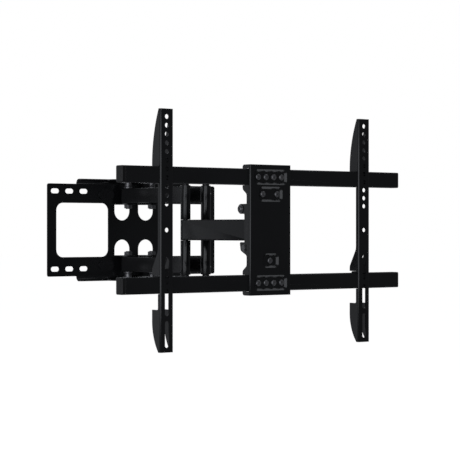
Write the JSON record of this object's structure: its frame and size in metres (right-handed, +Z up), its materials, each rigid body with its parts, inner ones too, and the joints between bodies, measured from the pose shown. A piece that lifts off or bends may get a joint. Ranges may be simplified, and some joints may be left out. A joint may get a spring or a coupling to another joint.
{
  "type": "full motion tv wall mount",
  "caption": "Full motion wall mount with paired folding arms, a swivel and tilt head, two rails and two sliding upright screen brackets.",
  "frame": {"origin": "middle of the wall plate's back face, on the wall", "axes": "+X along the rails to the right as seen from the screen side, +Y into the wall, +Z up; the screen is on the -Y side"},
  "size_m": [0.645, 0.4636, 0.43],
  "materials": {
    "black_coat": "satin fine-textured black powder coat",
    "dark_fastener": "black oxide steel fasteners",
    "plain_steel": "turned steel pins",
    "cap_plastic": "moulded black plastic",
    "bush_plastic": "turned black nylon"
  },
  "bodies": {
    "wall_bracket": {"wall_plate": "black_coat", "wall_pivot_bolts": "dark_fastener", "wall_pivot_nuts": "dark_fastener", "wall_pivot_washers": "dark_fastener", "wall_pivot_spacers": "dark_fastener"},
    "arms_left": {"upper_arm_left": "black_coat", "lower_arm_left": "black_coat", "arm_bushes_left": "bush_plastic", "elbow_tubes_left": "black_coat", "elbow_pin_left": "plain_steel", "elbow_caps_left": "cap_plastic"},
    "forearm_left": {"forearm_left": "black_coat", "elbow_bushes_left": "bush_plastic"},
    "arms_right": {"upper_arm_right": "black_coat", "lower_arm_right": "black_coat", "arm_bushes_right": "bush_plastic", "elbow_tubes_right": "black_coat", "elbow_pin_right": "plain_steel", "elbow_caps_right": "cap_plastic"},
    "forearm_right": {"forearm_right": "black_coat", "elbow_bushes_right": "bush_plastic"},
    "head_pin": {"head_pivot_pin": "dark_fastener", "head_pivot_washers": "dark_fastener", "head_pivot_nut": "dark_fastener"},
    "swivel_head": {"swivel_yoke": "black_coat", "tilt_pivot_bolts": "dark_fastener", "tilt_pivot_nuts": "dark_fastener", "tilt_washers": "bush_plastic", "tilt_lock_bolts": "dark_fastener", "tilt_lock_nuts": "dark_fastener"},
    "tilt_head": {"tilt_cradle": "black_coat", "front_panel": "black_coat", "rail_upper": "black_coat", "rail_lower": "black_coat", "rail_end_caps": "cap_plastic", "rail_bolts": "dark_fastener", "rail_nuts": "dark_fastener", "cradle_bolts": "dark_fastener", "cradle_nuts": "dark_fastener"},
    "bracket_left": {"vesa_bracket_left": "black_coat", "bracket_hooks_left": "black_coat", "bracket_lock_screws_left": "dark_fastener"},
    "bracket_right": {"vesa_bracket_right": "black_coat", "bracket_hooks_right": "black_coat", "bracket_lock_screws_right": "dark_fastener"}
  },
  "joints": [
    {"name": "arm_fold_left", "type": "hinge", "parent": "wall_bracket", "child": "arms_left", "pos_m": [-0.029, -0.025, 0], "axis": [0, 0, 1], "range_deg": [-45, 0]},
    {"name": "arm_fold_right", "type": "hinge", "parent": "wall_bracket", "child": "arms_right", "pos_m": [0.029, -0.025, 0], "axis": [0, 0, -1], "range_deg": [-45, 0]},
    {"name": "elbow_left", "type": "hinge", "parent": "arms_left", "child": "forearm_left", "pos_m": [-0.0244, -0.2238, 0], "axis": [0, 0, -1], "range_deg": [-93.38, 0]},
    {"name": "elbow_right", "type": "hinge", "parent": "arms_right", "child": "forearm_right", "pos_m": [0.0244, -0.2238, 0], "axis": [0, 0, 1], "range_deg": [-93.38, 0]},
    {"name": "head_level", "type": "hinge", "parent": "forearm_left", "child": "head_pin", "pos_m": [0, -0.42115, 0], "axis": [0, 0, 1], "range_deg": [-48.38, 0]},
    {"name": "swivel", "type": "hinge", "parent": "head_pin", "child": "swivel_head", "pos_m": [0, -0.42115, 0], "axis": [0, 0, 1], "range_deg": [-30, 30]},
    {"name": "tilt", "type": "hinge", "parent": "swivel_head", "child": "tilt_head", "pos_m": [0, -0.42755, 0.039], "axis": [1, 0, 0], "range_deg": [-5, 10]},
    {"name": "bracket_slide_left", "type": "slide", "parent": "tilt_head", "child": "bracket_left", "axis": [-1, 0, 0], "range_m": [-0.164, 0.07]},
    {"name": "bracket_slide_right", "type": "slide", "parent": "tilt_head", "child": "bracket_right", "axis": [1, 0, 0], "range_m": [-0.164, 0.07]}
  ],
  "couplings": [
    {"joint": "arm_fold_right", "follows": "arm_fold_left", "ratio": 1},
    {"joint": "elbow_left", "follows": "arm_fold_left", "ratio": 2.075},
    {"joint": "elbow_right", "follows": "arm_fold_left", "ratio": 2.075},
    {"joint": "head_level", "follows": "arm_fold_left", "ratio": 1.075}
  ]
}
